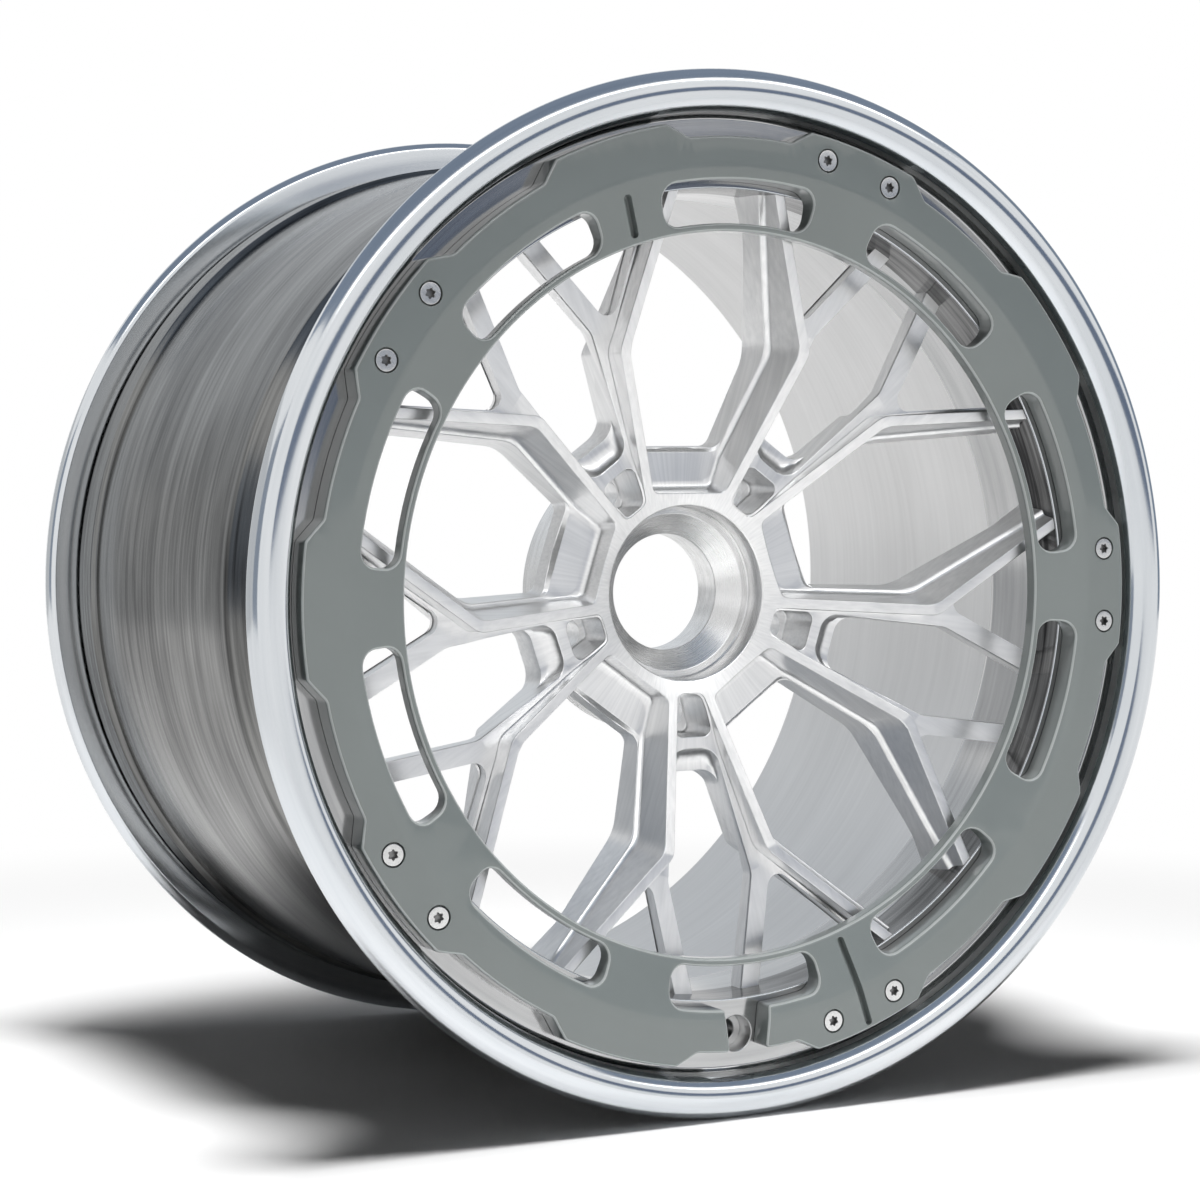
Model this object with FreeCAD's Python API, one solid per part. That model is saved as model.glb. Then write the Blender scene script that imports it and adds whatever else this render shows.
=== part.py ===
"""Forged centre-lock car wheel with a bolted cover ring, in millimetres.

The wheel axis runs along Y and the outboard face looks towards -Y, with +Z up.
The origin is on the axis, in the plane of the hub's mounting face.
The wheel is one forging: it is turned to a blank, and the windows and pockets
between the forked spokes are then milled out of it, five times round the hub.
"""
import FreeCAD
import Part
import math
import os

Vector = FreeCAD.Vector
AXIS = Vector(0, 1, 0)
CENTRE = Vector(0, 0, 0)

# Rim contour, after the standard 20 in by 13 in wide J rim
bead_seat_radius = 256.4
bead_seat_length = 20.0
bead_seat_slope = 5.0
hump_height = 1.3
hump_length = 5.0
flange_height = 17.3
flange_width = 12.3
rim_width = 330.2
lip_front = -112.0
lip_wall = 6.1
lip_inner_round = 6.0
lip_outer_round = 8.5
lip_chords = 5

# Drop centre and barrel
well_drop = 35.7
well_wall = 7.0
well_front = -71.0
well_rear = -27.0
well_ramp_length = 34.0
barrel_wall = 3.8
barrel_front_drop = 10.9
barrel_rear_drop = 3.9
rear_mouth_rise = 5.6
rear_mouth_length = 14.0

# Hub
spoke_groups = 5
mounting_pad_radius = 77.5
hub_bore_radius = 32.0
nut_taper_radius = 43.0
nut_taper_small_end = -20.0
nut_taper_length = 9.7
nut_recess_radius = 47.3
hub_front_edge = -45.0

# Spokes: plan points are given by radius and angle from the middle of a wide window
spoke_root_radius = 62.5
spoke_root_angle = 24.7
spoke_bend_radius = 140.0
spoke_bend_angle = 23.1
spoke_rim_sink = 3.0
spoke_rim_angle = 8.3
branch_root_offset = 11.0
branch_root_angle = 23.9
branch_rim_angle = 30.8
spoke_land_width = 5.6
flank_slope = 0.22
ledge_width = 2.2
lower_flank_slope = 0.14
spoke_outer_wall = 1.5
branch_width = 10.0
branch_thickness = 11.5
bend_round = 14.0
crotch_round = 7.0
bend_depth = -79.7
land_clearance = 1.0
wide_floor = -35.4
wide_floor_start = 57.0
wide_floor_margin = 1.5
wide_floor_bevel = 2.7
hub_wall_slope = 0.25
ledge_rim_depth = -84.0
branch_root_depth = -67.4
branch_rim_depth = -74.3
spoke_back_hub = -22.0
spoke_back_bend = -36.4
spoke_back_rim = -61.0
spoke_back_rim_margin = 1.1
rear_pocket_margin = 10.5
rear_pocket_hub_depth = -20.0
rear_pocket_bend_depth = -57.5

# Pockets between the spoke groups, and the bridge across each of them
pin_pocket_start = 54.5
pin_pocket_margin = 0.5
pin_pocket_floor = -24.0
pin_pocket_round = 4.5
pin_circle_radius = 66.5
pin_hole_radius = 8.0
bridge_depth = -50.5
bridge_width = 6.5
scallop_length = 12.5
scallop_depth = 9.0
scallop_round = 9.0
deep_shelf = 5.0

# Cover ring
clocking = 0.67
ring_gap = 3.3
ring_flat_width = 23.2
ring_thickness = 13.8
ring_inner_thickness = 7.7
ring_seat_depth = 18.8
ring_edge_break = 1.2
slot_count = 10
slot_margin = 7.1
slot_width = 22.2
slot_bar_width = 4.1
slot_half_angle = 12.5
slot_round = 8.5
notch_depth = 8.0
notch_half_angle = 7.9
notch_slope_angle = 2.3
notch_round = 5.0
tab_round = 4.0
valve_gap_inner_half = 14.4
valve_gap_outer_half = 9.7
groove_width = 4.2
groove_depth = 2.2
short_groove_angle = 108.0
long_groove_angle = -72.0
long_groove_width = 3.0
groove_end_margin = 2.0

# Ring screws, M6 countersunk
screw_pairs = 5
screw_margin = 12.4
screw_half_spacing = 4.98
screw_radius = 3.0
screw_length = 25.0
screw_head_radius = 6.0
screw_head_height = 3.3
screw_sunk = 0.3
screw_clearance = 0.05
screw_hole_spare = 3.0

# Valve hole
valve_hole_radius = 5.65
valve_margin = 15.0
valve_recess_radius = 9.5
valve_recess_depth = 12.0
valve_hole_depth = 34.0

# Values worked out from the sizes above
rear_face = lip_front + rim_width + 2 * flange_width
lip_radius = bead_seat_radius + flange_height
lip_inner_radius = bead_seat_radius - lip_wall
well_radius = bead_seat_radius - well_drop
well_inner_radius = well_radius - well_wall
barrel_front_radius = bead_seat_radius - barrel_front_drop
barrel_rear_radius = bead_seat_radius - barrel_rear_drop
rear_mouth_radius = bead_seat_radius + rear_mouth_rise
ring_back = lip_front + ring_seat_depth
ring_outer_radius = lip_inner_radius - ring_gap
ring_crease_radius = ring_outer_radius - ring_flat_width
slot_outer_radius = ring_crease_radius - slot_margin
slot_inner_radius = slot_outer_radius - slot_width
ring_inner_radius = slot_inner_radius - slot_bar_width
notch_radius = ring_outer_radius - notch_depth
screw_circle_radius = ring_outer_radius - screw_margin
valve_hole_circle = ring_outer_radius - valve_margin
spoke_rim_radius = well_inner_radius + spoke_rim_sink
spoke_back_rim_radius = ring_inner_radius + spoke_back_rim_margin
branch_root_radius = spoke_bend_radius + branch_root_offset
wide_floor_end = mounting_pad_radius + wide_floor_margin
wide_floor_edge = wide_floor_end - wide_floor_bevel
pin_pocket_end = mounting_pad_radius + pin_pocket_margin
rear_pocket_start = mounting_pad_radius + rear_pocket_margin
spoke_blank_radius = well_inner_radius + well_wall / 2
ring_front = ring_back - ring_thickness
cut_front = lip_front
cut_back = -lip_front
full_turn = 360
quarter_turn = full_turn / 4
sector = full_turn / spoke_groups
deep_angle = sector / 2
first_wide_angle = quarter_turn + clocking
cut_reach = ring_outer_radius
half_land = spoke_land_width / 2
half_branch = branch_width / 2

# Limits for finding edges
edge_margin = 1.0
parallel_limit = 0.001


def plan(radius, angle):
    """A point of the wheel's face, from its radius and its angle in degrees."""
    turn = math.radians(angle)
    return Vector(radius * math.cos(turn), 0, radius * math.sin(turn))


def section(radius, depth):
    """A point of a turned section, from its radius and its place along the axis."""
    return Vector(radius, depth, 0)


def shifted(start, end, start_shift, end_shift):
    """The line from start to end, each end moved towards the middle of its window."""
    along = (end - start).normalize()
    side = Vector(along.z, 0, -along.x)
    return start + side * start_shift, end + side * end_shift


def meet(first, second):
    """The crossing point of two lines of the wheel's face."""
    run_a = first[1] - first[0]
    run_b = second[1] - second[0]
    gap = second[0] - first[0]
    share = (gap.x * run_b.z - gap.z * run_b.x) / (run_a.x * run_b.z - run_a.z * run_b.x)
    return first[0] + run_a * share


def across(distance):
    """The line that crosses a window's middle squarely, at a distance from the axis."""
    return Vector(distance, 0, 0), Vector(distance, 0, 1)


def outline(corners, depth=0, chords=0):
    """A closed wire through corners, each a point and the radius that rounds it.

    Each rounding is an arc, or so many equal chords of that arc where chords are asked for.
    """
    tangents = []
    for index, (corner, radius) in enumerate(corners):
        before = (corners[index - 1][0] - corner).normalize()
        after = (corners[(index + 1) % len(corners)][0] - corner).normalize()
        if radius == 0:
            tangents.append((corner, None, corner))
            continue
        half = before.getAngle(after) / 2
        reach = radius / math.tan(half)
        middle = (before + after).normalize()
        arc_point = corner + middle * (radius / math.sin(half) - radius)
        tangents.append((corner + before * reach, arc_point, corner + after * reach))
    edges = []
    for index, (start, arc_point, end) in enumerate(tangents):
        if arc_point is not None:
            arc = Part.Arc(start, arc_point, end).toShape()
            edges += Part.makePolygon(arc.discretize(chords + 1)).Edges if chords else [arc]
        following = tangents[(index + 1) % len(tangents)][0]
        edges.append(Part.LineSegment(end, following).toShape())
    wire = Part.Wire(edges)
    wire.translate(AXIS * depth)
    return wire


def turned(corners):
    """The solid that a section makes when it is turned about the wheel's axis."""
    return Part.Face(outline(corners)).revolve(CENTRE, AXIS, full_turn)


def mirrored(corners):
    """Corners on one side of a window's middle, with their mirror images."""
    other = [(Vector(point.x, 0, -point.z), radius) for point, radius in reversed(corners)]
    return corners + other


def milled(corners, front=cut_front, back=cut_back):
    """The straight-walled solid that a cutter sweeps inside an outline."""
    return Part.Face(outline(corners, front)).extrude(AXIS * (back - front))


def beyond(floor, limit):
    """The turned solid between a floor, given from hub to rim, and a flat limit."""
    first = section(0, floor[0].y)
    last = section(cut_reach, floor[-1].y)
    points = [first] + floor + [last, section(cut_reach, limit), section(0, limit)]
    return turned([(point, 0) for point in points])


def around(shape, start_angle, count):
    """Copies of a shape that lies along +X, spread evenly round the axis."""
    copies = []
    for index in range(count):
        copy = shape.copy()
        copy.rotate(CENTRE, AXIS, -start_angle - index * full_turn / count)
        copies.append(copy)
    return copies


def rim():
    """The barrel: lip, bead seats, drop centre, rear wall and rear flange."""
    seat_drop = bead_seat_length * math.tan(math.radians(bead_seat_slope))
    seat_front = lip_front + flange_width
    seat_end = seat_front + bead_seat_length
    hump_end = seat_end + hump_length
    rear_seat = rear_face - flange_width
    rear_seat_end = rear_seat - bead_seat_length
    rear_hump_end = rear_seat_end - hump_length
    seat_low = bead_seat_radius - seat_drop
    ramp_end = well_rear + well_ramp_length
    corners = [
        (section(lip_inner_radius, ring_back), 0),
        (section(lip_inner_radius, lip_front), lip_inner_round),
        (section(lip_radius, lip_front), lip_outer_round),
        (section(lip_radius, seat_front), 0),
        (section(bead_seat_radius, seat_front), 0),
        (section(seat_low, seat_end), 0),
        (section(seat_low + hump_height, seat_end + hump_length / 2), 0),
        (section(seat_low, hump_end), 0),
        (section(well_radius, well_front), 0),
        (section(well_radius, well_rear), 0),
        (section(barrel_front_radius, ramp_end), 0),
        (section(barrel_rear_radius, rear_hump_end), 0),
        (section(seat_low + hump_height, rear_seat_end - hump_length / 2), 0),
        (section(seat_low, rear_seat_end), 0),
        (section(bead_seat_radius, rear_seat), 0),
        (section(lip_radius, rear_seat), 0),
        (section(lip_radius, rear_face), lip_outer_round),
        (section(rear_mouth_radius, rear_face), 0),
        (section(barrel_rear_radius - barrel_wall, rear_face - rear_mouth_length), 0),
        (section(barrel_front_radius - barrel_wall, ramp_end), 0),
        (section(well_inner_radius, well_rear), 0),
        (section(well_inner_radius, ring_back), 0),
    ]
    return Part.Face(outline(corners, 0, lip_chords)).revolve(CENTRE, AXIS, full_turn)


def spoke_blank():
    """The turned blank that the spokes and the hub are milled from."""
    rim_front = ring_back + land_clearance
    corners = [
        (section(hub_bore_radius, 0), 0),
        (section(hub_bore_radius, nut_taper_small_end), 0),
        (section(nut_taper_radius, nut_taper_small_end - nut_taper_length), 0),
        (section(nut_recess_radius, nut_taper_small_end - nut_taper_length), 0),
        (section(nut_recess_radius, hub_front_edge), 0),
        (section(spoke_bend_radius, bend_depth), 0),
        (section(spoke_rim_radius, rim_front), 0),
        (section(spoke_blank_radius, rim_front), 0),
        (section(spoke_blank_radius, spoke_back_rim), 0),
        (section(spoke_back_rim_radius, spoke_back_rim), 0),
        (section(spoke_bend_radius, spoke_back_bend), 0),
        (section(mounting_pad_radius, spoke_back_hub), 0),
        (section(mounting_pad_radius, 0), 0),
    ]
    return turned(corners)


def depth_at(profile, radius):
    """The depth of a turned profile at a radius, straight between its points."""
    for inner, outer in zip(profile, profile[1:]):
        if radius <= outer.x:
            break
    share = (radius - inner.x) / (outer.x - inner.x)
    return inner.y + (outer.y - inner.y) * share


def spoke_lines(middle_angle, root_shift, bend_shift, rim_shift):
    """A spoke's inner and outer centre lines, moved towards a window's middle."""
    root = plan(spoke_root_radius, abs(middle_angle - spoke_root_angle))
    bend = plan(spoke_bend_radius, abs(middle_angle - spoke_bend_angle))
    tip = plan(spoke_rim_radius, abs(middle_angle - spoke_rim_angle))
    return shifted(root, bend, root_shift, bend_shift), shifted(bend, tip, bend_shift, rim_shift)


def wide_outline(depth, profile, edge_shifts, slope, start):
    """The outline of a wide window at a depth, with flanks that lean from a profile."""
    radii = (spoke_root_radius, spoke_bend_radius, spoke_rim_radius)
    shifts = []
    for radius, edge_shift in zip(radii, edge_shifts):
        shifts.append(edge_shift + (depth - depth_at(profile, radius)) * slope)
    inner, outer = spoke_lines(0, *shifts)
    hub_side = start + (depth - wide_floor) * hub_wall_slope
    return outline(mirrored([
        (meet(inner, across(hub_side)), pin_pocket_round),
        (meet(inner, outer), bend_round),
        (meet(outer, across(cut_reach)), 0),
    ]), depth)


def wide_cuts():
    """The pocket down to the ledge, and the window, between two spokes of a pair."""
    land = [
        section(nut_recess_radius, hub_front_edge),
        section(spoke_bend_radius, bend_depth),
        section(spoke_rim_radius, ring_back + land_clearance),
    ]
    floor_end = section(wide_floor_end, wide_floor)
    ledge = [section(spoke_root_radius, wide_floor), floor_end, section(spoke_rim_radius, ledge_rim_depth)]
    land_shifts = [half_land] * 3
    ledge_shifts = []
    for radius in (spoke_root_radius, spoke_bend_radius, spoke_rim_radius):
        fall = depth_at(ledge, radius) - depth_at(land, radius)
        ledge_shifts.append(half_land + fall * flank_slope + ledge_width)
    pocket = Part.makeLoft([
        wide_outline(cut_front, land, land_shifts, flank_slope, wide_floor_start),
        wide_outline(wide_floor, land, land_shifts, flank_slope, wide_floor_start),
    ], True, True)
    window = Part.makeLoft([
        wide_outline(cut_front, ledge, ledge_shifts, lower_flank_slope, wide_floor_edge),
        wide_outline(0, ledge, ledge_shifts, lower_flank_slope, wide_floor_edge),
    ], True, True)
    return [pocket.common(beyond(ledge, cut_front)), window]


def branch_line(shift):
    """A branch's centre line beside a deep window, moved towards its middle."""
    root = plan(branch_root_radius, deep_angle - branch_root_angle)
    tip = plan(spoke_rim_radius, deep_angle - branch_rim_angle)
    return shifted(root, tip, shift, shift)


def deep_outline(shift, start, rounding):
    """The outline of a deep window, between two spokes and their branches."""
    inner, outer = spoke_lines(deep_angle, shift, shift, shift)
    branch = branch_line(half_branch)
    return mirrored([
        (meet(inner, across(start)), rounding),
        (meet(inner, branch), bend_round),
        (meet(branch, across(cut_reach)), 0),
    ])


def deep_cuts():
    """The pockets before and behind the branches, the deep window and its side windows."""
    bridge_end = pin_pocket_end + bridge_width
    floor = [
        section(bridge_end, bridge_depth),
        section(branch_root_radius, branch_root_depth),
        section(spoke_rim_radius, branch_rim_depth),
    ]
    branch_back = [
        section(rear_pocket_start, rear_pocket_hub_depth),
        section(spoke_bend_radius, rear_pocket_bend_depth),
        section(spoke_rim_radius, branch_rim_depth + branch_thickness),
    ]
    inner, outer = spoke_lines(deep_angle, half_land, half_land, half_land)
    over = mirrored([
        (meet(inner, across(pin_pocket_end)), 0),
        (meet(inner, outer), 0),
        (meet(outer, across(cut_reach)), 0),
    ])
    side_shift = half_land + spoke_outer_wall
    wall, side = spoke_lines(deep_angle, side_shift, side_shift, side_shift)
    under = mirrored([
        (meet(wall, across(rear_pocket_start)), 0),
        (meet(wall, side), 0),
        (meet(side, across(cut_reach)), 0),
    ])
    window_shift = half_land + deep_shelf
    window_start = bridge_end + scallop_length
    scallop = Part.makeLoft([
        outline(deep_outline(half_land, bridge_end, scallop_round), bridge_depth),
        outline(deep_outline(window_shift, window_start, scallop_round), bridge_depth + scallop_depth),
    ], True, True)
    branch = branch_line(-half_branch)
    side_window = [
        (meet(side, branch), crotch_round),
        (meet(side, across(cut_reach)), 0),
        (meet(branch, across(cut_reach)), 0),
    ]
    other_side = [(Vector(point.x, 0, -point.z), radius) for point, radius in side_window]
    return [
        milled(over).common(beyond(floor, cut_front)),
        milled(under).common(beyond(branch_back, cut_back)),
        scallop,
        milled(deep_outline(window_shift, window_start, scallop_round)),
        milled(side_window),
        milled(other_side),
    ]


def pin_cuts():
    """The pocket between bridge and hub, and the drive pin hole in its floor."""
    inner, outer = spoke_lines(deep_angle, half_land, half_land, half_land)
    pocket = mirrored([
        (meet(inner, across(pin_pocket_start)), pin_pocket_round),
        (meet(inner, across(pin_pocket_end)), pin_pocket_round),
    ])
    hole = Part.makeCylinder(pin_hole_radius, cut_back, section(pin_circle_radius, pin_pocket_floor), AXIS)
    return [milled(pocket, cut_front, pin_pocket_floor), hole]


def screw_places():
    """The angles of the ring's screws, in pairs round the ring."""
    angles = []
    for pair in range(screw_pairs):
        middle = clocking + pair * full_turn / screw_pairs
        angles += [middle - screw_half_spacing, middle + screw_half_spacing]
    return angles


def forged_wheel():
    """The wheel itself, one forging: hub, forked spokes and barrel."""
    spokes = spoke_blank()
    cuts = []
    for cut in wide_cuts():
        cuts += around(cut, first_wide_angle, spoke_groups)
    for cut in deep_cuts() + pin_cuts():
        cuts += around(cut, first_wide_angle + deep_angle, spoke_groups)
    spokes = spokes.cut(cuts)
    wheel = rim().fuse(spokes)
    hole_depth = screw_length - ring_thickness + screw_hole_spare
    holes = []
    for angle in screw_places():
        foot = plan(screw_circle_radius, angle) + AXIS * ring_back
        holes.append(Part.makeCylinder(screw_radius + screw_clearance, hole_depth, foot, AXIS))
    valve_foot = plan(valve_hole_circle, clocking - quarter_turn) + AXIS * ring_back
    holes.append(Part.makeCylinder(valve_recess_radius, valve_recess_depth, valve_foot, AXIS))
    holes.append(Part.makeCylinder(valve_hole_radius, valve_hole_depth, valve_foot, AXIS))
    return wheel.cut(holes)


def ring_slot():
    """One long slot of the cover ring, lying along +X."""
    disc = Part.makeCylinder(slot_outer_radius, ring_thickness, AXIS * ring_front, AXIS)
    core = Part.makeCylinder(slot_inner_radius, ring_thickness, AXIS * ring_front, AXIS)
    wedge = milled([
        (CENTRE, 0),
        (plan(ring_outer_radius, -slot_half_angle), 0),
        (plan(ring_outer_radius, slot_half_angle), 0),
    ], ring_front, ring_back)
    slot = disc.cut(core).common(wedge)
    return slot.makeFillet(slot_round, upright_edges(slot))


def upright_edges(solid):
    """The straight edges of a solid that run along the wheel's axis."""
    edges = []
    for edge in solid.Edges:
        run = edge.lastVertex().Point - edge.firstVertex().Point
        if run.Length > 0 and run.cross(AXIS).Length < run.Length * parallel_limit:
            edges.append(edge)
    return edges


def ring_notch():
    """One notch of the cover ring's outer edge, lying along +X."""
    outer_angle = notch_half_angle + notch_slope_angle
    wedge = milled([
        (plan(notch_radius - notch_round, -notch_half_angle + notch_slope_angle), 0),
        (plan(ring_outer_radius, -outer_angle), 0),
        (plan(ring_outer_radius + notch_round, 0), 0),
        (plan(ring_outer_radius, outer_angle), 0),
        (plan(notch_radius - notch_round, notch_half_angle - notch_slope_angle), 0),
    ], ring_front, ring_back)
    core = Part.makeCylinder(notch_radius, ring_thickness, AXIS * ring_front, AXIS)
    notch = wedge.cut(core)
    inner_edges = [edge for edge in upright_edges(notch)
                   if math.hypot(edge.CenterOfMass.x, edge.CenterOfMass.z) < notch_radius + edge_margin]
    return notch.makeFillet(notch_round, inner_edges)


def ring_groove(end, width):
    """The cutter of a radial groove along +X that follows the ring's front surface."""
    front = [
        section(ring_inner_radius, ring_back - ring_inner_thickness),
        section(ring_crease_radius, ring_front),
        section(ring_outer_radius, ring_front),
    ]
    bends = [slot_inner_radius, min(end, ring_crease_radius), end]
    floor = [section(radius, depth_at(front, radius) + groove_depth) for radius in sorted(set(bends))]
    points = floor + [section(end, cut_front), section(slot_inner_radius, cut_front)]
    groove = Part.Face(outline([(point, 0) for point in points])).extrude(Vector(0, 0, width))
    groove.translate(Vector(0, 0, -width / 2))
    return groove


def cover_ring():
    """The painted ring: a turned band with slots, notches, grooves and screw seats."""
    inner_front = ring_back - ring_inner_thickness
    ring = turned([
        (section(ring_inner_radius, ring_back), 0),
        (section(ring_inner_radius, inner_front + ring_edge_break), 0),
        (section(ring_inner_radius + ring_edge_break, inner_front), 0),
        (section(ring_crease_radius, ring_front), 0),
        (section(ring_outer_radius, ring_front), 0),
        (section(ring_outer_radius, ring_back), 0),
    ])
    cuts = around(ring_slot(), first_wide_angle, slot_count)
    cuts += around(ring_notch(), first_wide_angle, slot_count)
    ring = ring.cut(cuts)
    tab_edges = [edge for edge in upright_edges(ring)
                 if math.hypot(edge.CenterOfMass.x, edge.CenterOfMass.z) > ring_outer_radius - edge_margin]
    ring = ring.makeFillet(tab_round, tab_edges)
    valve_gap = milled(mirrored([
        (plan(slot_outer_radius - slot_round, 0) + Vector(0, 0, valve_gap_inner_half), 0),
        (plan(notch_radius + slot_round, 0) + Vector(0, 0, valve_gap_outer_half), 0),
    ]), ring_front, ring_back)
    cuts = around(valve_gap, clocking - quarter_turn, 1)
    short_groove = ring_groove(slot_outer_radius, groove_width)
    long_groove = ring_groove(ring_outer_radius - groove_end_margin, long_groove_width)
    cuts += around(short_groove, clocking + short_groove_angle, 1)
    cuts += around(long_groove, clocking + long_groove_angle, 1)
    for angle in screw_places():
        cuts.append(screw_body(angle, ring_front, screw_clearance))
    return ring.cut(cuts)


def screw_body(angle, front, clearance):
    """A countersunk screw's outer form at an angle, with its cone carried to a front plane."""
    shank = screw_radius + clearance
    head_front = ring_front + screw_sunk
    cone_slope = (screw_head_radius - screw_radius) / screw_head_height
    front_radius = screw_head_radius + (head_front - front) * cone_slope
    neck = head_front + screw_head_height - clearance / cone_slope
    end = head_front + screw_length
    body = turned([
        (section(0, front), 0),
        (section(front_radius, front), 0),
        (section(shank, neck), 0),
        (section(shank, end), 0),
        (section(0, end), 0),
    ])
    body.translate(plan(screw_circle_radius, angle))
    return body


def ring_screws():
    """The ten countersunk screws that hold the ring."""
    return Part.makeCompound([screw_body(angle, ring_front + screw_sunk, 0) for angle in screw_places()])


os.makedirs("parts", exist_ok=True)
for name, shape in (
    ("forged_wheel", forged_wheel()),
    ("cover_ring", cover_ring()),
    ("ring_screws", ring_screws()),
):
    print(name, len(shape.Solids), "solids, valid", shape.isValid(), "volume", round(shape.Volume))
    shape.exportStep("parts/" + name + ".step")
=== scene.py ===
import math

import bmesh
import bpy
import numpy as np
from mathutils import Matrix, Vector, geometry


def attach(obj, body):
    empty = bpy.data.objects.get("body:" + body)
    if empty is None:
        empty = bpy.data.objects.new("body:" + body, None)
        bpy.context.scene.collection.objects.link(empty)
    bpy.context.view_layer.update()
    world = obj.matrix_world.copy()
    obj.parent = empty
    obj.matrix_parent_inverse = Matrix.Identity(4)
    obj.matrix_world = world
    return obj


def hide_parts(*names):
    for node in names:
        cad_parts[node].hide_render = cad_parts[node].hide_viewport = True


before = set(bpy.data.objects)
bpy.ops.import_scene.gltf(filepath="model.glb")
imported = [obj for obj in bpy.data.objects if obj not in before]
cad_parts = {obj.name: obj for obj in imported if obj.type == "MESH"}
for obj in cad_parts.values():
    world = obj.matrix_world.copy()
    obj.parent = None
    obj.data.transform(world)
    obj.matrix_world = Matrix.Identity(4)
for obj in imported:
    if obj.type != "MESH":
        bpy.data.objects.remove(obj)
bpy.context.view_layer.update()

# The rim barrel: the outer shell of the forging, spun and turned from one aluminium blank.
# Its front lip and rear flange are polished, and the drop centre and the rear wall keep the
# fine turning lines of the lathe. The spokes grow out of its inner wall in one piece.
MM = 0.001
MERGE, WELD, REACH = 0.004 * MM, 0.012 * MM, 0.15 * MM
SLIVER = 5e-4
# Sizes are in millimetres and turns in degrees. Depths run along the axis, with the front negative.
CLOCKING = 0.67
LIP_FRONT, LIP_RADIUS, LIP_INNER = -112.0, 273.7, 250.3
SEAT_RADIUS, SEAT_LOW, FLANGE = 256.4, 254.65, 12.3
REAR_FACE = 242.8
RING_BACK = -93.2
WELL_RADIUS, WELL_FRONT, WELL_REAR, CONE_REAR = 220.7, -71, -27, 7
HOOP_INNER, HOOP_STEP = 213.7, 0.4
BARREL_FRONT, BARREL_REAR, BARREL_WALL = 245.5, 252.5, 3.8
REAR_MOUTH, REAR_MOUTH_LENGTH = 262.0, 14.0


def rounded_path(corners, radii, arc_steps, side_steps):
    """Closed path round corners, each rounded by a tangent arc of its own radius.

    The arc's centre lies on the corner's bisector at radius / sin(half angle); points on the
    arc turn evenly from one tangent point to the other, and sides are divided evenly.
    Leading axes of the arrays carry several paths at once.
    """
    corners = np.asarray(corners, float)
    radii = np.maximum(np.broadcast_to(radii, corners.shape[:-1]), 1e-6)[..., None]
    back = np.roll(corners, 1, -2) - corners
    ahead = np.roll(corners, -1, -2) - corners
    back = back / np.linalg.norm(back, axis=-1, keepdims=True)
    ahead = ahead / np.linalg.norm(ahead, axis=-1, keepdims=True)
    cosine = np.clip((back * ahead).sum(-1, keepdims=True), -0.999999, 0.999999)
    half = np.arccos(cosine) / 2
    middle = back + ahead
    middle = middle / np.linalg.norm(middle, axis=-1, keepdims=True)
    centre = corners + middle * radii / np.sin(half)
    start = corners + back * radii / np.tan(half) - centre
    end = corners + ahead * radii / np.tan(half) - centre
    sweep = np.pi - 2 * half
    share = np.linspace(0, 1, arc_steps + 1)[:, None]
    arcs = (start[..., None, :] * np.sin((1 - share) * sweep[..., None, :])
            + end[..., None, :] * np.sin(share * sweep[..., None, :])) / np.sin(sweep)[..., None, :]
    arcs = arcs + centre[..., None, :]
    following = np.roll(arcs, -1, -3)[..., :1, :]
    share = np.linspace(0, 1, side_steps + 2)[1:-1, None]
    sides = arcs[..., -1:, :] * (1 - share) + following * share
    path = np.concatenate([arcs, sides], -2)
    return path.reshape(*path.shape[:-3], -1, 2)


def ring_faces(rows, columns, wrap_rows=False):
    """Quads of a grid that closes along its columns, and along its rows where asked."""
    row = np.arange(rows if wrap_rows else rows - 1)[:, None]
    column = np.arange(columns)[None, :]
    after = (column + 1) % columns
    below = (row + 1) % rows
    return np.stack([row * columns + column, row * columns + after,
                     below * columns + after, below * columns + column], -1).reshape(-1, 4)


def turned(path, count):
    """Surface of revolution: each path point (radius, depth) goes round the wheel's axis."""
    angle = np.linspace(0, 2 * np.pi, count, endpoint=False)
    radius, depth = path[:, 0, None], path[:, 1, None]
    return np.stack([radius * np.cos(angle), depth + 0 * angle, radius * np.sin(angle)], -1)


def circle(radius, count, centre=(0, 0)):
    """Points of a circle of the wheel's face, as (x, z)."""
    angle = np.linspace(0, 2 * np.pi, count, endpoint=False)
    return np.stack([centre[0] + radius * np.cos(angle), centre[1] + radius * np.sin(angle)], -1)


def stacked(rows, depths):
    """A wall through flat outlines: each row of (x, z) points lies at its own depth or depths."""
    return np.stack([np.stack([row[:, 0], 0 * row[:, 0] + depth, row[:, 1]], -1)
                     for row, depth in zip(rows, depths)])


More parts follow.
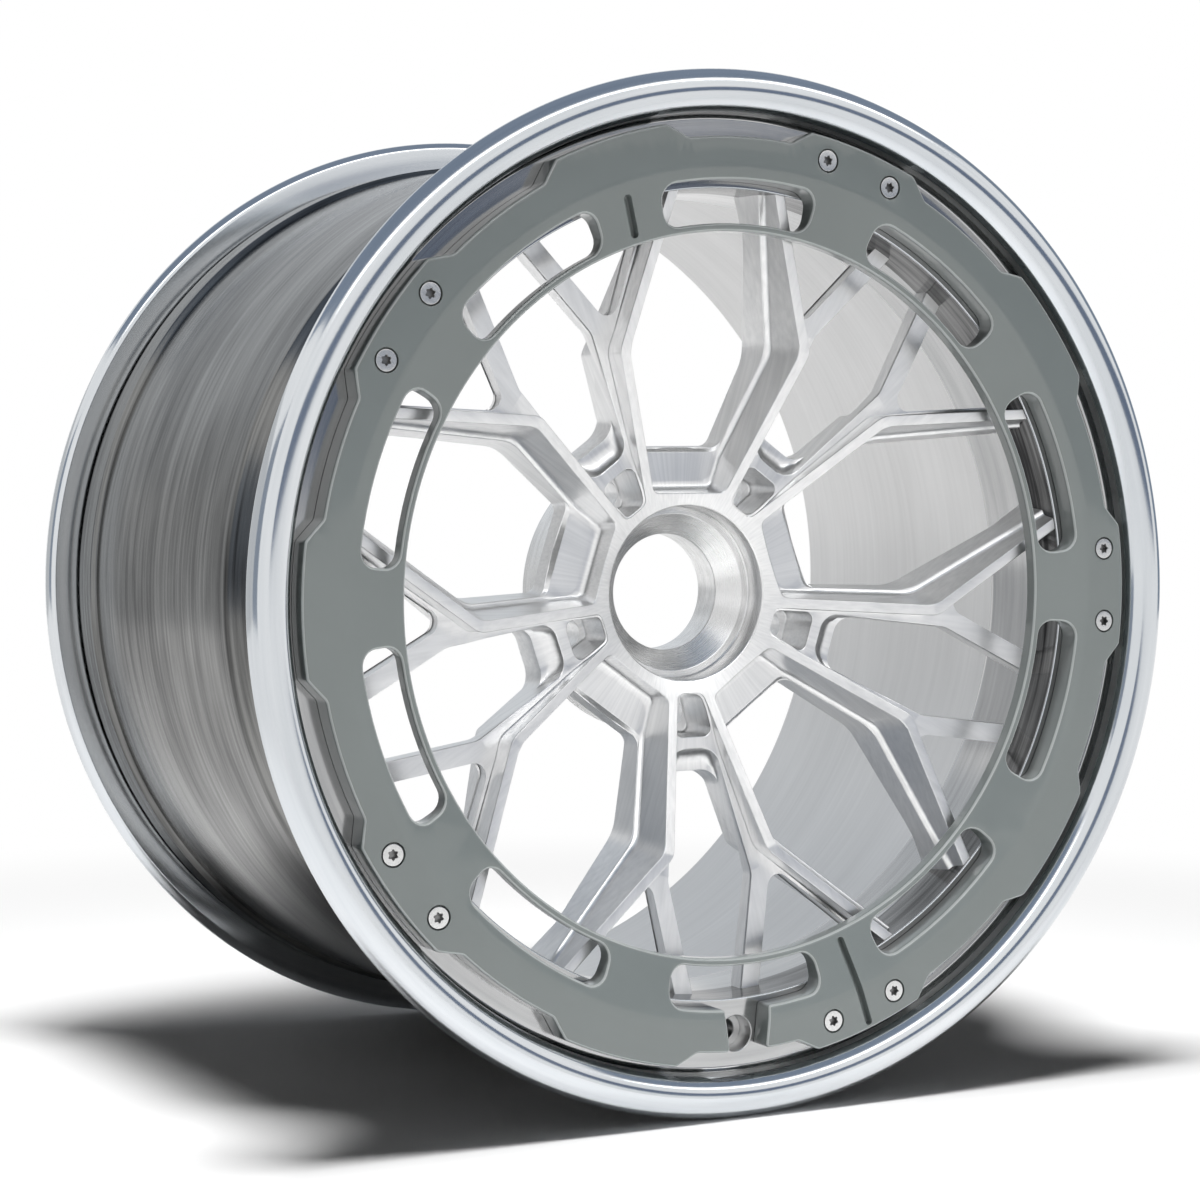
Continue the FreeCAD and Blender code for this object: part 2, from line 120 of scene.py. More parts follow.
def filled(outlines, knots, depths, front, creases=()):
    """A thin face between outlines: triangles whose middle is inside an odd number of them.

    Each point then takes the depth that the knots give for its radius. Creases are closed
    lines that triangles keep to, without bounding the face.
    """
    drawn = list(outlines) + list(creases)
    flat = np.concatenate(drawn)
    sizes = [len(line) for line in drawn]
    starts = np.cumsum([0] + sizes[:-1])
    edges = [(s + i, s + (i + 1) % n) for s, n in zip(starts, sizes) for i in range(n)]
    found = geometry.delaunay_2d_cdt([Vector(p) for p in flat.tolist()], edges, [], 0, 1e-6)
    points = np.array([(p.x, p.y) for p in found[0]])
    triangles = np.array(found[2])
    middle = points[triangles].mean(1)
    inside = np.zeros(len(middle), bool)
    for outline in outlines:
        ax, az = outline[:, 0], outline[:, 1]
        bx, bz = np.roll(ax, -1), np.roll(az, -1)
        px, pz = middle[:, 0, None], middle[:, 1, None]
        straddle = (az > pz) != (bz > pz)
        with np.errstate(divide="ignore", invalid="ignore"):
            cut = ax + (pz - az) * (bx - ax) / (bz - az)
        inside ^= (straddle & (px < cut)).sum(1) % 2 == 1
    depth = np.interp(np.linalg.norm(points, axis=1), knots, depths)
    lifted = np.stack([points[:, 0], depth, points[:, 1]], -1)
    triangles = triangles[inside]
    a, b, c = (points[triangles[:, i]] for i in range(3))
    area = (b[:, 0] - a[:, 0]) * (c[:, 1] - a[:, 1]) - (b[:, 1] - a[:, 1]) * (c[:, 0] - a[:, 0])
    solid = np.abs(area) > SLIVER
    triangles, area = triangles[solid], area[solid]
    wrong = (area > 0) != front
    triangles[wrong] = triangles[wrong][:, ::-1]
    return lifted, triangles


def flat_face(outlines, depth, front):
    """A thin face between outlines that lies at one depth."""
    return filled(outlines, [0, 1], [depth, depth], front)


def join_open_edges(shell):
    """Split open edges where a corner of another open edge lies on them, and join the two."""
    edges = [edge for edge in shell.edges if edge.is_boundary]
    if not edges:
        return
    ends = np.array([[corner.co[:] for corner in edge.verts] for edge in edges])
    corners = np.unique(ends.reshape(-1, 3), axis=0)
    for edge, (start, end) in zip(edges, ends):
        run, gap = end - start, corners - start
        share = gap @ run / (run @ run)
        off = np.linalg.norm(gap - share[:, None] * run, axis=1)
        done, corner = 0.0, edge.verts[0]
        for stop in np.argsort(share):
            if off[stop] < REACH and 0.002 < share[stop] < 0.998:
                _, corner = bmesh.utils.edge_split(edge, corner, (share[stop] - done) / (1 - done))
                corner.co, done = corners[stop], share[stop]
    bmesh.ops.remove_doubles(shell, verts=shell.verts, dist=WELD)


def piece(name, parts, materials, node, sharp=28):
    """One mesh object out of (points in mm, faces, finish numbers) parts, close points joined."""
    points, faces, finishes, base = [], [], [], 0
    for part_points, part_faces, finish in parts:
        part_points = np.asarray(part_points, float).reshape(-1, 3)
        points.append(part_points)
        faces += (np.asarray(part_faces) + base).tolist()
        finishes.append(np.broadcast_to(finish, len(part_faces)))
        base += len(part_points)
    mesh = bpy.data.meshes.new(name)
    mesh.from_pydata((np.concatenate(points) * MM).tolist(), [], faces)
    mesh.polygons.foreach_set("material_index", np.concatenate(finishes).astype(np.int32))
    shell = bmesh.new()
    shell.from_mesh(mesh)
    bmesh.ops.remove_doubles(shell, verts=shell.verts, dist=MERGE)
    bmesh.ops.dissolve_degenerate(shell, edges=shell.edges, dist=MERGE / 2)
    join_open_edges(shell)
    loose = [point for point in shell.verts if not point.link_faces]
    bmesh.ops.delete(shell, geom=loose, context="VERTS")
    shell.to_mesh(mesh)
    shell.free()
    mesh.polygons.foreach_set("use_smooth", np.ones(len(mesh.polygons), bool))
    mesh.set_sharp_from_angle(angle=math.radians(sharp))
    for material in materials:
        mesh.materials.append(material)
    made = bpy.data.objects.new(name, mesh)
    level = made.modifiers.new("level_faces", "WEIGHTED_NORMAL")
    level.keep_sharp = True
    bpy.context.collection.objects.link(made)
    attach(made, "root")
    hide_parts(node)
    return made


def new_group(name, inputs, outputs):
    """An empty shader node group with named sockets, and its two end nodes."""
    group = bpy.data.node_groups.new(name, "ShaderNodeTree")
    for label, value in inputs:
        socket = group.interface.new_socket(label, in_out="INPUT", socket_type="NodeSocketFloat")
        socket.default_value = value
    for label in outputs:
        group.interface.new_socket(label, in_out="OUTPUT", socket_type="NodeSocketFloat")
    return group, group.nodes.new("NodeGroupInput"), group.nodes.new("NodeGroupOutput")


def maths(tree, operation, first, second=0.0, third=0.0):
    """A Math node whose inputs are sockets or plain numbers; gives its output socket."""
    node = tree.nodes.new("ShaderNodeMath")
    node.operation = operation
    for socket, value in zip(node.inputs, (first, second, third)):
        if isinstance(value, (int, float)):
            socket.default_value = value
        else:
            tree.links.new(value, socket)
    return node.outputs[0]


def polar_parts(tree):
    """Radius, depth and angle about the wheel's axis, from Object coordinates."""
    place = tree.nodes.new("ShaderNodeTexCoord").outputs["Object"]
    split = tree.nodes.new("ShaderNodeSeparateXYZ")
    tree.links.new(place, split.inputs[0])
    x, y, z = split.outputs
    squares = [maths(tree, "MULTIPLY", part, part) for part in (x, z)]
    radius = maths(tree, "SQRT", maths(tree, "ADD", *squares))
    return radius, y, maths(tree, "ARCTAN2", z, x), x, z


def noise_at(tree, first, second, third, scale, detail):
    """Noise read at three sockets, each already scaled to its own direction."""
    join = tree.nodes.new("ShaderNodeCombineXYZ")
    for socket, value in zip(join.inputs, (first, second, third)):
        tree.links.new(value, socket)
    noise = tree.nodes.new("ShaderNodeTexNoise")
    noise.inputs["Scale"].default_value = scale
    noise.inputs["Detail"].default_value = detail
    tree.links.new(join.outputs[0], noise.inputs["Vector"])
    return noise.outputs["Fac"]


turning_lines, lines_in, lines_out = new_group("turning_lines", [("Pitch", 900.0), ("Run", 2.0)],
                                               ["Lines", "Stains"])
radius, depth, angle, _, _ = polar_parts(turning_lines)
along = maths(turning_lines, "MULTIPLY", angle, lines_in.outputs["Run"])
fine_radius = maths(turning_lines, "MULTIPLY", radius, lines_in.outputs["Pitch"])
fine_depth = maths(turning_lines, "MULTIPLY", depth, lines_in.outputs["Pitch"])
fine_lines = noise_at(turning_lines, fine_radius, fine_depth, along, 1.0, 3.0)
turning_lines.links.new(fine_lines, lines_out.inputs["Lines"])
run = maths(turning_lines, "ADD", depth, radius)
turn_x, turn_z = maths(turning_lines, "COSINE", angle), maths(turning_lines, "SINE", angle)
layers = []
for across, round_turns in ((20.0, 1.6), (330.0, 2.6)):
    layers.append(noise_at(turning_lines, maths(turning_lines, "MULTIPLY", run, across),
                           maths(turning_lines, "MULTIPLY", turn_x, round_turns),
                           maths(turning_lines, "MULTIPLY", turn_z, round_turns), 1.0, 4.0))
patches = maths(turning_lines, "MULTIPLY", layers[0], 0.6)
stains = maths(turning_lines, "MULTIPLY_ADD", layers[1], 0.4, patches)
turning_lines.links.new(stains, lines_out.inputs["Stains"])


def bare_metal(name, group, settings, dark, light, roughness, spread, line_height, contrast=0.2):
    """Bare metal with a marks group: stains shift its colour and gloss, lines its relief."""
    material = bpy.data.materials.new(name)
    material.use_nodes = True
    tree = material.node_tree
    shader = tree.nodes["Principled BSDF"]
    shader.inputs["Metallic"].default_value = 1
    marks = tree.nodes.new("ShaderNodeGroup")
    marks.node_tree = group
    for label, value in settings.items():
        marks.inputs[label].default_value = value
    ramp = tree.nodes.new("ShaderNodeValToRGB")
    low, high = ramp.color_ramp.elements
    low.position, high.position = 0.5 - contrast, 0.5 + contrast
    low.color, high.color = (*dark, 1), (*light, 1)
    tree.links.new(marks.outputs["Stains"], ramp.inputs[0])
    tree.links.new(ramp.outputs[0], shader.inputs["Base Color"])
    rough = maths(tree, "MULTIPLY_ADD", marks.outputs["Lines"], spread, roughness - spread / 2)
    tree.links.new(rough, shader.inputs["Roughness"])
    bump = tree.nodes.new("ShaderNodeBump")
    bump.inputs["Strength"].default_value = 1
    bump.inputs["Distance"].default_value = line_height
    tree.links.new(marks.outputs["Lines"], bump.inputs["Height"])
    tree.links.new(bump.outputs[0], shader.inputs["Normal"])
    return material


# Painted reflection: the turned barrel's near-black, streaky colour stands in for the dark
# surroundings its metal mirrors. It is not the aluminium's own tone.
turned_reflection_metal = bare_metal("turned_aluminium_painted_reflection", turning_lines, {"Pitch": 1500.0, "Run": 1.2},
                          (0.05, 0.05, 0.05), (0.25, 0.25, 0.245), 0.2, 0.16, 0.00001, 0.11)
polished_metal = bare_metal("polished_aluminium", turning_lines, {"Pitch": 2500.0, "Run": 0.6},
                            (0.60, 0.63, 0.66), (0.74, 0.76, 0.78), 0.13, 0.05, 0.000001)
satin_metal = bare_metal("satin_aluminium", turning_lines, {"Pitch": 1800.0, "Run": 0.8},
                         (0.60, 0.60, 0.60), (0.70, 0.70, 0.70), 0.36, 0.12, 0.000006)
bored_metal = bare_metal("bored_aluminium", turning_lines, {"Pitch": 1800.0, "Run": 0.8},
                         (0.34, 0.345, 0.35), (0.56, 0.56, 0.56), 0.14, 0.1, 0.000004)
# Painted shade: the hoop behind the cover ring is coloured near black to stand in for the deep shade
# seen through the ring's slots.
hoop_shade_metal = bare_metal("bored_aluminium_painted_shade", turning_lines, {"Pitch": 1800.0, "Run": 0.8},
                        (0.02, 0.02, 0.021), (0.26, 0.26, 0.26), 0.16, 0.1, 0.000004, 0.12)
rear_seat = REAR_FACE - FLANGE
TURNED, POLISHED, SATIN, BORED, HOOP = range(5)
barrel_rows = np.array([
    (LIP_INNER, RING_BACK, 2, BORED), (251.2, -98, 1.5, SATIN), (253, LIP_FRONT, 10.5, POLISHED),
    (LIP_RADIUS, LIP_FRONT, 9, POLISHED), (LIP_RADIUS, LIP_FRONT + FLANGE, 3, POLISHED),
    (SEAT_RADIUS, LIP_FRONT + FLANGE, 2.5, TURNED), (SEAT_LOW, LIP_FRONT + FLANGE + 20, 1, TURNED),
    (SEAT_LOW + 1.3, LIP_FRONT + FLANGE + 22.5, 1, TURNED),
    (SEAT_LOW, LIP_FRONT + FLANGE + 25, 1, TURNED), (WELL_RADIUS, WELL_FRONT, 4, TURNED),
    (WELL_RADIUS, WELL_REAR, 8, TURNED), (BARREL_FRONT, CONE_REAR, 8, TURNED),
    (BARREL_REAR, rear_seat - 25, 1, TURNED), (SEAT_LOW + 1.3, rear_seat - 22.5, 1, TURNED),
    (SEAT_LOW, rear_seat - 20, 1, TURNED), (SEAT_RADIUS - 0.3, rear_seat - 3.4, 0.5, TURNED),
    (SEAT_RADIUS - 3.2, rear_seat - 3.2, 0.5, TURNED),
    (SEAT_RADIUS - 3.2, rear_seat, 0.5, POLISHED),
    (LIP_RADIUS, rear_seat, 5, POLISHED), (LIP_RADIUS, REAR_FACE, 7, POLISHED),
    (REAR_MOUTH, REAR_FACE, 4, POLISHED),
    (BARREL_REAR - BARREL_WALL, REAR_FACE - REAR_MOUTH_LENGTH, 6, SATIN),
    (BARREL_FRONT - BARREL_WALL, CONE_REAR, 8, SATIN), (HOOP_INNER, WELL_REAR, 8, BORED),
    # The two HOOP rows carry the painted shade behind the ring.
    (HOOP_INNER, -64, 0.1, HOOP), (HOOP_INNER - HOOP_STEP, -64.6, 0.1, HOOP),
    (HOOP_INNER - HOOP_STEP, RING_BACK, 0.8, POLISHED),
])
BARREL_COUNT, CORNER_ARC, CORNER_POINTS = 320, 6, 8
SEAT_CORNER, WELL_CORNER = 26, 8
barrel_path = rounded_path(barrel_rows[:, :2], barrel_rows[:, 2], CORNER_ARC, 1)
barrel_round = turned(barrel_path, BARREL_COUNT)
barrel_faces = ring_faces(len(barrel_path), BARREL_COUNT, True)[:, ::-1]
face_rows = np.arange(len(barrel_faces)) // BARREL_COUNT
seat_row = SEAT_CORNER * CORNER_POINTS + CORNER_ARC
well_row = WELL_CORNER * CORNER_POINTS + CORNER_ARC
open_rows = np.isin(face_rows, [seat_row, seat_row + 1, well_row, well_row + 1])
VALVE_CIRCLE, VALVE_RECESS, VALVE_HOLE, VALVE_FLOOR, VALVE_COUNT = 232, 9.5, 5.65, -81.2, 48
valve_angle = CLOCKING - 90
valve_turn = math.radians(valve_angle)
valve_middle = VALVE_CIRCLE * np.array([math.cos(valve_turn), math.sin(valve_turn)])
seat_circles = [circle(barrel_path[row, 0], BARREL_COUNT) for row in (0, seat_row)]
well_radii, well_depths = barrel_path[[well_row + 2, well_row]].T
well_circles = [circle(well_end, BARREL_COUNT) for well_end in well_radii]
recess_rows = [circle(VALVE_RECESS + grow, VALVE_COUNT, valve_middle) for grow in (0.4, 0, 0, -0.4)]
hole_rows = [circle(VALVE_HOLE + grow, VALVE_COUNT, valve_middle) for grow in (0.3, 0)]
hole_end = np.interp(np.linalg.norm(hole_rows[-1], axis=1), well_radii, well_depths)
recess = stacked(recess_rows, (RING_BACK, RING_BACK + 0.4, VALVE_FLOOR - 0.4, VALVE_FLOOR))
hole = stacked(hole_rows + hole_rows[-1:], (VALVE_FLOOR, VALVE_FLOOR + 0.3, hole_end))
barrel_finish = barrel_rows[face_rows // CORNER_POINTS, 3]
barrel_parts = [
    (barrel_round, barrel_faces[~open_rows], barrel_finish[~open_rows]),
    (*flat_face(seat_circles + recess_rows[:1], RING_BACK, True), BORED),
    (*flat_face(recess_rows[-1:] + hole_rows[:1], VALVE_FLOOR, True), SATIN),
    (*filled(well_circles + hole_rows[-1:], well_radii, well_depths, False), TURNED),
    (recess, ring_faces(4, VALVE_COUNT), SATIN), (hole, ring_faces(3, VALVE_COUNT), SATIN),
]
barrel_metals = [turned_reflection_metal, polished_metal, satin_metal, bored_metal, hoop_shade_metal]
barrel = piece("barrel", barrel_parts, barrel_metals, "forged_wheel")

# The hub and the forked spokes: milled from the same forging as the barrel, five groups of two.
# Each spoke has a narrow flat land on top, a coved step on its window side, and a lower branch
# that leaves it at the bend. Faces are bare: cutter marks on the spokes, turning lines in the hub.
GROUPS, GROUP_TURN, HALF_TURN = 5, 72, 36
FIRST_WIDE = 90 + CLOCKING
KNOTS = np.array([47.3, 62.5, 77.5, 79, 84.5, 88, 95, 140, 151, 191.5, 216.7])
LAND = np.interp(KNOTS, [47.3, 140, 216.7], [-45, -79.7, -92.2])
LEDGE = np.interp(KNOTS, [79, 216.7], [-35.4, -84])
BACK = np.interp(KNOTS, [77.5, 140, 191.5], [-22, -36.4, -61])
DEEP_FLOOR = np.interp(KNOTS, [84.5, 151, 216.7], [-50.5, -67.4, -74.3])
REAR_FLOOR = np.minimum(BACK, np.interp(KNOTS, [88, 140, 216.7], [-20, -57.5, -62.8]))
POCKET_TOP = np.maximum(DEEP_FLOOR, LAND + 1.1)
ROOT, BEND, TIP = (62.5, 24.7), (140, 23.1), (216.7, 8.3)
BRANCH_ROOT, BRANCH_TIP = (151, 23.9), (216.7, 30.8)
HALF_LAND, HALF_BRANCH = 2.8, 5.0
PIN_CIRCLE, PIN_RADIUS, PIN_FLOOR, PIN_COUNT = 66.5, 8, -24.0, 40
PAD_RADIUS, HUB_EDGE, HUB_COUNT, SPOKE_COUNT = 77.5, 48.2, 160, 240
RIM_END, INNER_RIM_END, SPOKE_END = 215.6, 215.0, 217.5
LEDGE_LEVEL = 6
MILLED, FACED = range(2)


def plan(radius, angle):
    """A point of the wheel's face from its radius and its angle in degrees."""
    return np.array([radius * math.cos(math.radians(angle)), radius * math.sin(math.radians(angle))])


def moved(start, end, start_shift, end_shift):
    """A line with each end moved sideways, towards the middle of the window beside it."""
    along = (end - start) / np.linalg.norm(end - start)
    side = np.array([along[1], -along[0]])
    return start + side * start_shift, end + side * end_shift


def crossing(first, second):
    """Where two lines of the wheel's face cross."""
    run_a, run_b, gap = first[1] - first[0], second[1] - second[0], second[0] - first[0]
    share = (gap[0] * run_b[1] - gap[1] * run_b[0]) / (run_a[0] * run_b[1] - run_a[1] * run_b[0])
    return first[0] + run_a * share


def square_to(distance):
    """The line across a window's middle at a distance from the axis."""
    return np.array([distance, 0.0]), np.array([distance, 1.0])


def out_to(line, radius):
    """Where a line of the wheel's face runs out to a radius."""
    start, run = line[0], line[1] - line[0]
    square, half, rest = run @ run, start @ run, start @ start - radius ** 2
    return start + run * (math.sqrt(half * half - square * rest) - half) / square


def spoke_sides(middle, shifts):
    """A spoke's inner and outer centre lines seen from a window's middle angle, moved by shifts."""
    root, bend, tip = (plan(r, abs(middle - a)) for r, a in (ROOT, BEND, TIP))
    return moved(root, bend, shifts[0], shifts[1]), moved(bend, tip, shifts[1], shifts[2])


def branch_side(shift):
    """A branch's centre line seen from the deep window's middle angle, moved by a shift."""
    root, tip = (plan(r, HALF_TURN - a) for r, a in (BRANCH_ROOT, BRANCH_TIP))
    return moved(root, tip, shift, shift)


def both_sides(corners):
    """Corners of one half of a window followed by their mirror images."""
    return np.array(list(corners) + [(u, -w) for u, w in reversed(corners)])


def window(levels, arc_steps=7, side_steps=9):
    """A window's wall: one outline per level, each at the depth its knots give for its radius.

    Between the two corners without a rounding the outline follows the rim's circle.
    """
    paths = rounded_path([corners for corners, _, _ in levels], [radii for _, radii, _ in levels],
                         arc_steps, side_steps)
    corners, radii, _ = levels[0]
    if 0 in radii:
        first, block = radii.index(0), arc_steps + 1 + side_steps
        rim = np.s_[:, first * block:(first + 1) * block + arc_steps + 1]
        reach = np.linalg.norm(paths[rim], axis=-1, keepdims=True)
        paths[rim] *= np.linalg.norm(corners[first]) / reach
    radius = np.linalg.norm(paths, axis=-1)
    depth = np.stack([np.interp(r, KNOTS, knots) for r, (_, _, knots) in zip(radius, levels)])
    return np.stack([paths[..., 0], depth, paths[..., 1]], -1)


def repeated(points, first_angle):
    """Copies of points that lie along +X, one for each group round the axis."""
    turn = np.radians(first_angle + GROUP_TURN * np.arange(GROUPS))
    cosine, sine = np.cos(turn), np.sin(turn)
    x, y, z = points[..., 0], points[..., 1], points[..., 2]
    spread = [np.stack([x * c - z * s, y, x * s + z * c], -1) for c, s in zip(cosine, sine)]
    return np.stack(spread)


def wide_levels():
    """Outlines of a wide window from the land's edge over the coved step to the back edge."""
    at = [np.where(KNOTS == r)[0][0] for r, _ in (ROOT, BEND, TIP)]
    step_in = HALF_LAND + (LEDGE - LAND) * 0.22
    step_out = step_in + 2.2
    chamfer = np.interp(KNOTS, [79, 86], [2.4, 0.5])
    lower = step_out + (BACK - LEDGE) * 0.14
    rows = [
        (LAND, HALF_LAND - 0.5 + 0 * LAND, 53.6),
        (LAND + 0.15, HALF_LAND - 0.15 + 0 * LAND, 53.9),
        (LAND + 0.5, HALF_LAND + 0.1 + 0 * LAND, 54.2),
        (LEDGE - 2.2, step_in - 0.45, 56.4),
        (LEDGE - 1.2, step_in + 0.05, 57.2),
        (LEDGE - 0.45, step_in + 0.75, 58.6),
        (LEDGE, step_in + 1.75, 61.5),
        (LEDGE, step_out - 0.2, 76.0),
        (LEDGE + 0.12, step_out + 0.05, 76.5),
        (LEDGE + chamfer, step_out + 0.3, 78.4),
        (LEDGE + 1.2 * chamfer, step_out + 0.45, 78.9),
        (BACK - 0.7, lower - 0.1, 79.9),
        (BACK - 0.2, lower - 0.25, 79.9),
        (BACK, lower - 0.8, 79.4),
    ]
    levels = []
    for index, (depth, shift, hub) in enumerate(rows):
        inner, outer = spoke_sides(0, shift[at])
        corners = both_sides([crossing(inner, square_to(hub)), crossing(inner, outer),
                              out_to(outer, RIM_END)])
        share = index / (len(rows) - 1)
        hub_round, bend_round = 4.5 + 2 * share, 14 + 12 * share
        levels.append((corners, [hub_round, bend_round, 0, 0, bend_round, hub_round], depth))
    return levels


def deep_top_levels():
    """Outlines of the pocket between two groups, from the land's edge down to the branches."""
    rows = [(LAND, -0.5), (LAND + 0.15, -0.15), (LAND + 0.5, 0.1),
            (np.maximum(DEEP_FLOOR - 0.9, LAND + 0.7), 0.15),
            (np.maximum(DEEP_FLOOR - 0.25, LAND + 0.9), 0.45), (POCKET_TOP, 1.1)]
    levels = []
    for depth, shift in rows:
        shift = HALF_LAND + shift
        inner, outer = spoke_sides(HALF_TURN, (shift, shift, shift))
        corners = both_sides([crossing(inner, square_to(54.4 + 0.3 * (shift - HALF_LAND))),
                              crossing(inner, outer), out_to(outer, RIM_END)])
        levels.append((corners, [4.5, 12, 0, 0, 12, 4.5], depth))
    return levels


def deep_window_levels():
    """Outlines of a deep window, from the scallop and the branches' tops to the back."""
    rows = []
    scallop = ((0, 0, 84.0, 0), (0.25, 0.12, 84.4, 0.3), (2.4, 0.5, 85.6, 0.5),
               (5.6, 0.7, 88.6, 0.6), (7.8, 0.9, 92.6, 0.65), (8.9, 1.1, 96.4, 0.7))
    for hub_fall, side_fall, hub, widen in scallop:
        fall = np.interp(KNOTS, [95, 140], [hub_fall, side_fall])
        rows.append((DEEP_FLOOR + fall, widen, 5 + widen, hub, 9.5))
    below_scallop = DEEP_FLOOR + 1.3 + np.interp(KNOTS, [95, 140], [8.2, 0.2])
    rows += [(np.maximum(REAR_FLOOR - 12.5, below_scallop), 0.75, 5.75, 97.2, 10),
             (REAR_FLOOR - 0.5, 0.9, 5.9, 97.5, 10.5), (REAR_FLOOR, 0.5, 5.5, 97.1, 10.5)]
    levels = []
    for depth, root, bend, hub, rounding in rows:
        shifts = (HALF_LAND + root, HALF_LAND + bend, HALF_LAND + bend)
        inner, _ = spoke_sides(HALF_TURN, shifts)
        branch = branch_side(HALF_BRANCH - 5.5 + bend)
        corners = both_sides([crossing(inner, square_to(hub)), crossing(inner, branch),
                              out_to(branch, INNER_RIM_END)])
        levels.append((corners, [rounding, 14, 0, 0, 14, rounding], depth))
    return levels


def side_window_levels():
    """Outlines of the three-cornered window between a spoke's outer leg and its branch."""
    rows = [(DEEP_FLOOR, -0.5), (DEEP_FLOOR + 0.15, -0.15), (DEEP_FLOOR + 0.5, 0),
            (REAR_FLOOR - 0.5, 0), (REAR_FLOOR, -0.5)]
    levels = []
    for depth, shift in rows:
        _, outer = spoke_sides(HALF_TURN, (HALF_LAND + 1.5 - shift,) * 3)
        branch = branch_side(-HALF_BRANCH + shift)
        corners = np.array([crossing(outer, branch), out_to(outer, INNER_RIM_END),
                            out_to(branch, INNER_RIM_END)])
        levels.append((corners, [7, 0, 0], depth))
    return levels


def pin_pocket_levels():
    """Outlines of the pocket round a drive pin hole, from the bridge's top to its floor."""
    floor = 0 * KNOTS + PIN_FLOOR
    rows = [(POCKET_TOP, 1.3, 55.0, 78.2), (POCKET_TOP + 0.2, 1.4, 55.1, 77.9),
            (POCKET_TOP + 0.8, 1.45, 55.2, 77.7), (floor - 1.5, 1.5, 55.3, 77.6),
            (floor - 0.4, 1.6, 55.5, 77.3), (floor, 2.0, 56.0, 76.8)]
    levels = []
    for depth, shift, start, end in rows:
        inner, _ = spoke_sides(HALF_TURN, (HALF_LAND + shift,) * 3)
        corners = both_sides([crossing(inner, square_to(start)), crossing(inner, square_to(end))])
        levels.append((corners, [4.2, 4.5, 4.5, 4.2], depth))
    return levels


def rear_pocket_levels():
    """Outlines of the pocket behind the branches, from the spokes' back to its floor."""
    rows = [(BACK, -0.5), (np.maximum(BACK - 0.5, REAR_FLOOR), 0), (REAR_FLOOR, 0.1)]
    levels = []
    for depth, shift in rows:
        inner, outer = spoke_sides(HALF_TURN, (HALF_LAND + 1.5 + shift,) * 3)
        corners = both_sides([crossing(inner, square_to(94.5)), crossing(inner, outer),
                              out_to(outer, RIM_END)])
        levels.append((corners, [6, 6, 0, 0, 6, 6], depth))
    return levels


def carried(levels, first_angle, mirror=False, gap=None, from_back=False):
    """A window's wall repeated round the wheel: its points per copy, and the mesh parts.

    The band after the level named as gap is left open for a flat floor.
    """
    wall = window(levels)
    if mirror:
        wall = wall[:, ::-1] * np.array([1, 1, -1])
    copies = repeated(wall, first_angle)
    faces = ring_faces(wall.shape[0], wall.shape[1])
    faces = faces if from_back else faces[:, ::-1]
    if gap is not None:
        faces = np.delete(faces, np.s_[gap * wall.shape[1]:(gap + 1) * wall.shape[1]], 0)
    return copies, [(copy, faces, MILLED) for copy in copies]


def outlines_of(copies, level):
    """The outlines of one level of every copy, as (x, z)."""
    return [copy[level][:, [0, 2]] for copy in copies]


deep_start = FIRST_WIDE + HALF_TURN
wide, wide_parts = carried(wide_levels(), FIRST_WIDE, gap=LEDGE_LEVEL)
deep_top, deep_top_parts = carried(deep_top_levels(), deep_start)
deep_window, deep_window_parts = carried(deep_window_levels(), deep_start)
side_a, side_a_parts = carried(side_window_levels(), deep_start)
side_b, side_b_parts = carried(side_window_levels(), deep_start, True)
pin_pocket, pin_pocket_parts = carried(pin_pocket_levels(), deep_start)
rear_pocket, rear_pocket_parts = carried(rear_pocket_levels(), deep_start, from_back=True)
spoke_parts = (wide_parts + deep_top_parts + deep_window_parts + side_a_parts + side_b_parts
               + pin_pocket_parts + rear_pocket_parts)

hub_path = np.array([(32.6, 0), (32, -0.6), (32, -19.6), (32.3, -20.2), (42.8, -29.5), (43.2, -29.7),
                     (46.6, -29.7), (47.3, -30.4), (47.3, -44.5), (47.6, -44.9),
                     (HUB_EDGE, np.interp(HUB_EDGE, KNOTS, LAND))])
outer_circle, hub_circle = circle(SPOKE_END, SPOKE_COUNT), circle(HUB_EDGE, HUB_COUNT)
fills = [
    filled([outer_circle, hub_circle] + outlines_of(wide, 0) + outlines_of(deep_top, 0),
           KNOTS, LAND, True),
    filled(outlines_of(wide, LEDGE_LEVEL) + outlines_of(wide, LEDGE_LEVEL + 1), KNOTS, LEDGE, True),
    filled(outlines_of(deep_top, -1) + outlines_of(deep_window, 0) + outlines_of(side_a, 0)
           + outlines_of(side_b, 0) + outlines_of(pin_pocket, 0), KNOTS, POCKET_TOP, True),
    filled([outer_circle, circle(PAD_RADIUS, HUB_COUNT)] + outlines_of(wide, -1)
           + outlines_of(rear_pocket, 0), KNOTS, BACK, False),
    filled(outlines_of(rear_pocket, -1) + outlines_of(deep_window, -1) + outlines_of(side_a, -1)
           + outlines_of(side_b, -1), KNOTS, REAR_FLOOR, False),
]
pin_places = np.radians(deep_start + GROUP_TURN * np.arange(GROUPS))
pin_holes = [circle(PIN_RADIUS, PIN_COUNT, (PIN_CIRCLE * math.cos(a), PIN_CIRCLE * math.sin(a)))
             for a in pin_places]
pad_circles = [circle(PAD_RADIUS - 0.5, HUB_COUNT), circle(hub_path[0, 0], HUB_COUNT)]
fills.append(flat_face(outlines_of(pin_pocket, -1) + pin_holes, PIN_FLOOR, True))
fills.append(flat_face(pad_circles + pin_holes, 0, False))
for hole in pin_holes:
    spoke_parts.append((stacked([hole, hole], (PIN_FLOOR, 0)), ring_faces(2, PIN_COUNT), MILLED))
hub_faces = ring_faces(len(hub_path), HUB_COUNT)[:, ::-1]
spoke_parts.append((turned(hub_path, HUB_COUNT), hub_faces, FACED))
